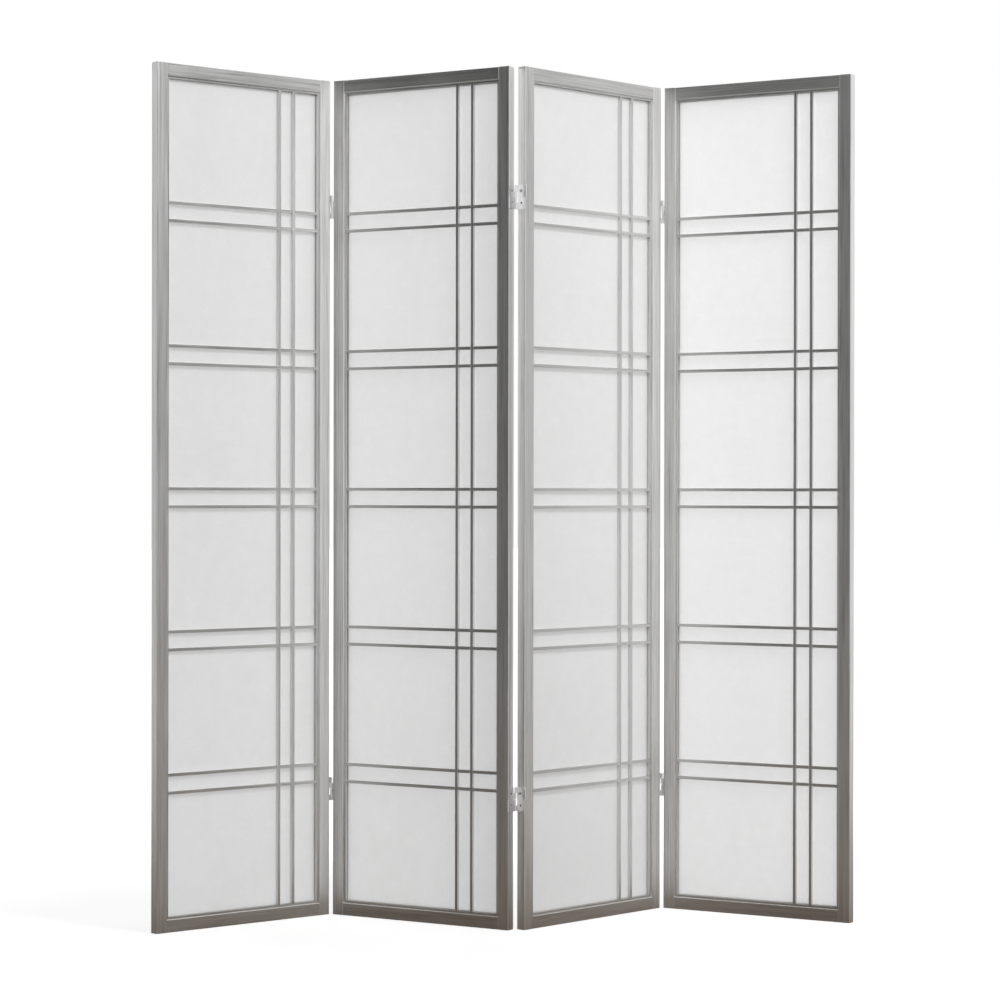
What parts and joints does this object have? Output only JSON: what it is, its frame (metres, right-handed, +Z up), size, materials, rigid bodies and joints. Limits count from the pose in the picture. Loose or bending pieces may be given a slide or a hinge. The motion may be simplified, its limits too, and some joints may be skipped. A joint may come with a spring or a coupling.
{
  "type": "folding room divider screen",
  "caption": "Free-standing folding screen: silver-painted wooden frames with double-cross lattice over white rice paper, joined by two-way hinges to stand in a zig-zag or fold flat.",
  "frame": {"origin": "middle of the standing screen's plan box, on the floor", "axes": "+Z up; +X along the row from the left panel to the right one as seen from the front; +Y from the front to the back"},
  "size_m": [1.4736, 0.3176, 1.79],
  "materials": {
    "silver_wood": "silver metallic paint brushed along the grain",
    "rice_paper": "white fibrous rice paper, matt and translucent",
    "plated_steel": "bright nickel plating",
    "screw_steel": "zinc-plated steel"
  },
  "bodies": {
    "panel_1": {"bottom_rail_1": "silver_wood", "cross_bars_1": "silver_wood", "hinge_pins_1": "plated_steel", "hinge_screws_1": "screw_steel", "lattice_border_1": "silver_wood", "left_stile_1": "silver_wood", "paper_beads_1": "silver_wood", "rice_paper_1": "rice_paper", "right_leaves_1": "plated_steel", "right_stile_1": "silver_wood", "right_upper_links_1": "plated_steel", "top_rail_1": "silver_wood", "upright_bars_1": "silver_wood"},
    "panel_2": {"bottom_rail_2": "silver_wood", "cross_bars_2": "silver_wood", "hinge_pins_2": "plated_steel", "hinge_screws_2": "screw_steel", "lattice_border_2": "silver_wood", "left_leaves_2": "plated_steel", "left_lower_links_2": "plated_steel", "left_stile_2": "silver_wood", "paper_beads_2": "silver_wood", "rice_paper_2": "rice_paper", "right_leaves_2": "plated_steel", "right_lower_links_2": "plated_steel", "right_stile_2": "silver_wood", "top_rail_2": "silver_wood", "upright_bars_2": "silver_wood"},
    "panel_3": {"bottom_rail_3": "silver_wood", "cross_bars_3": "silver_wood", "hinge_pins_3": "plated_steel", "hinge_screws_3": "screw_steel", "lattice_border_3": "silver_wood", "left_leaves_3": "plated_steel", "left_stile_3": "silver_wood", "left_upper_links_3": "plated_steel", "paper_beads_3": "silver_wood", "rice_paper_3": "rice_paper", "right_leaves_3": "plated_steel", "right_stile_3": "silver_wood", "right_upper_links_3": "plated_steel", "top_rail_3": "silver_wood", "upright_bars_3": "silver_wood"},
    "panel_4": {"bottom_rail_4": "silver_wood", "cross_bars_4": "silver_wood", "hinge_pins_4": "plated_steel", "hinge_screws_4": "screw_steel", "lattice_border_4": "silver_wood", "left_leaves_4": "plated_steel", "left_lower_links_4": "plated_steel", "left_stile_4": "silver_wood", "paper_beads_4": "silver_wood", "rice_paper_4": "rice_paper", "right_stile_4": "silver_wood", "top_rail_4": "silver_wood", "upright_bars_4": "silver_wood"}
  },
  "joints": [
    {"name": "fold_1", "type": "hinge", "parent": "panel_2", "child": "panel_1", "pos_m": [-0.3551, 0.11427, 0.27], "axis": [0, 0, 1], "range_deg": [-71.1, 107.9]},
    {"name": "fold_2", "type": "hinge", "parent": "panel_2", "child": "panel_3", "pos_m": [0.0138, -0.13473, 0.27], "axis": [0, 0, 1], "range_deg": [-78.4, 100.6]},
    {"name": "fold_3", "type": "hinge", "parent": "panel_3", "child": "panel_4", "pos_m": [0.36822, 0.13448, 0.27], "axis": [0, 0, -1], "range_deg": [-77.5, 101.5]}
  ]
}
